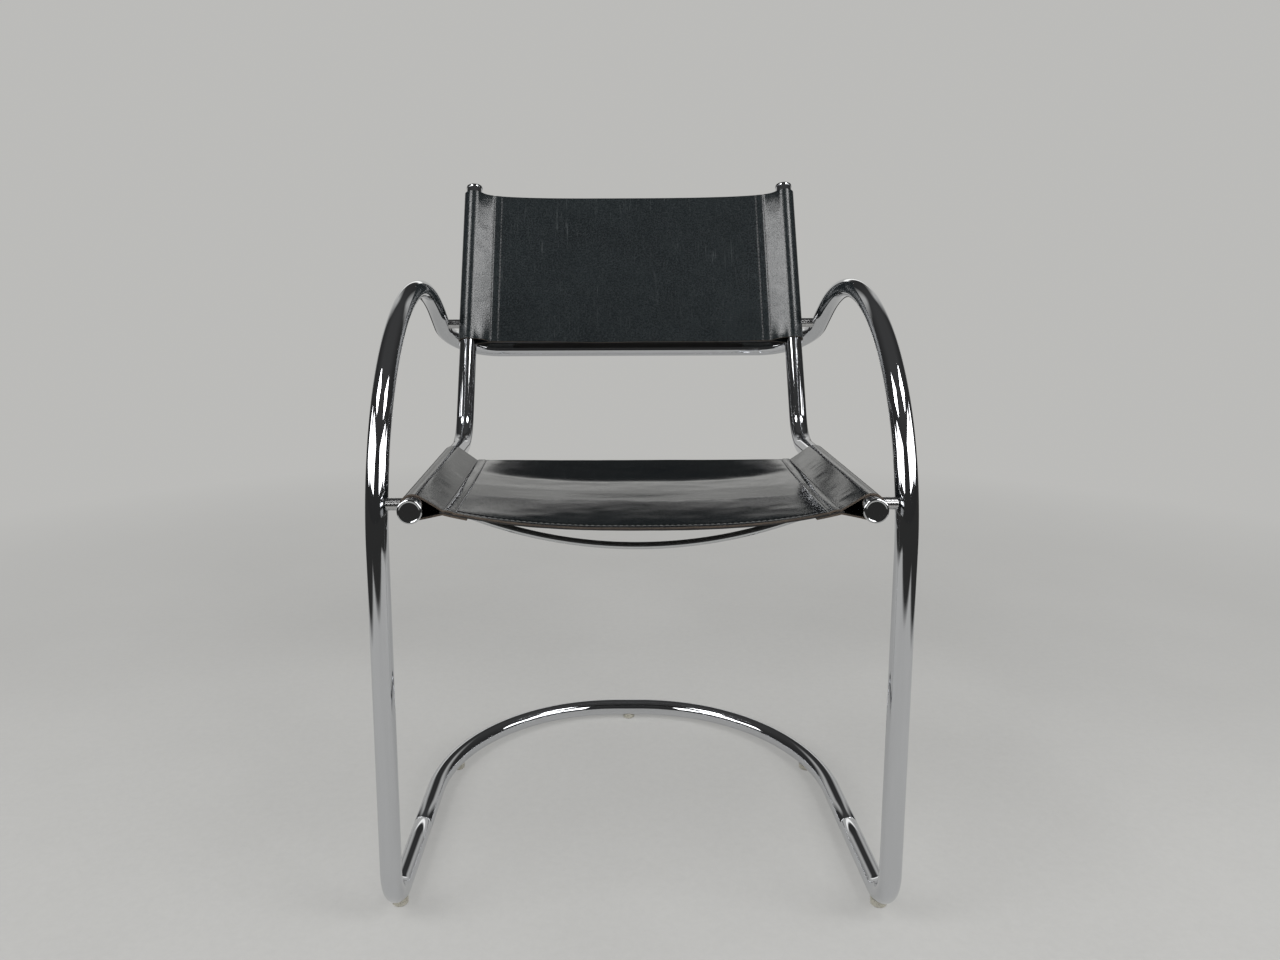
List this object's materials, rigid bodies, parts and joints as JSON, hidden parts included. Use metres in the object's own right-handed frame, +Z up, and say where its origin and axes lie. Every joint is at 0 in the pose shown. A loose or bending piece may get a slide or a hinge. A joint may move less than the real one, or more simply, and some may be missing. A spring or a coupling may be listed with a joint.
{
  "type": "cantilever chair",
  "caption": "Cantilever armchair of bent chromed tube on a floor bow, with black leather seat and back slings looped over two inner tube frames.",
  "frame": {"origin": "centre of the bounding box in plan, on the floor plane the glides stand on", "axes": "+Z up; +Y towards the back of the chair, so its front faces -Y; +X to the right of a viewer who stands in front and looks along +Y"},
  "size_m": [0.528, 0.521, 0.7807],
  "materials": {
    "chrome_outer": "polished",
    "chrome_inner": "polished",
    "chrome_fitting": "polished",
    "steel_fastener": "satin",
    "steel_sleeve": "satin",
    "leather_black": "semi-gloss",
    "lining_black": "matt flesh side",
    "thread_dark": "matt",
    "glide_clear": "translucent"
  },
  "bodies": {
    "root": {"base_bow": "chrome_outer", "arm_frame": "chrome_outer", "runner_ferrules": "steel_sleeve", "seat_back_tube_right": "chrome_inner", "seat_back_tube_left": "chrome_inner", "front_cap_right": "chrome_fitting", "front_cap_left": "chrome_fitting", "top_cap_right": "chrome_fitting", "top_cap_left": "chrome_fitting", "spacer_front_right": "chrome_fitting", "spacer_front_left": "chrome_fitting", "spacer_rear_right": "chrome_fitting", "spacer_rear_left": "chrome_fitting", "frame_screws": "steel_fastener", "thread_inserts": "steel_fastener", "brace_rod": "chrome_fitting", "seat_leather": "leather_black", "seat_lining": "lining_black", "seat_stitching": "thread_dark", "back_leather": "leather_black", "back_lining": "lining_black", "back_stitching": "thread_dark", "glide_front_right": "glide_clear", "glide_front_left": "glide_clear", "glide_rear_right": "glide_clear", "glide_rear_left": "glide_clear", "glide_rear_center": "glide_clear"}
  },
  "joints": []
}
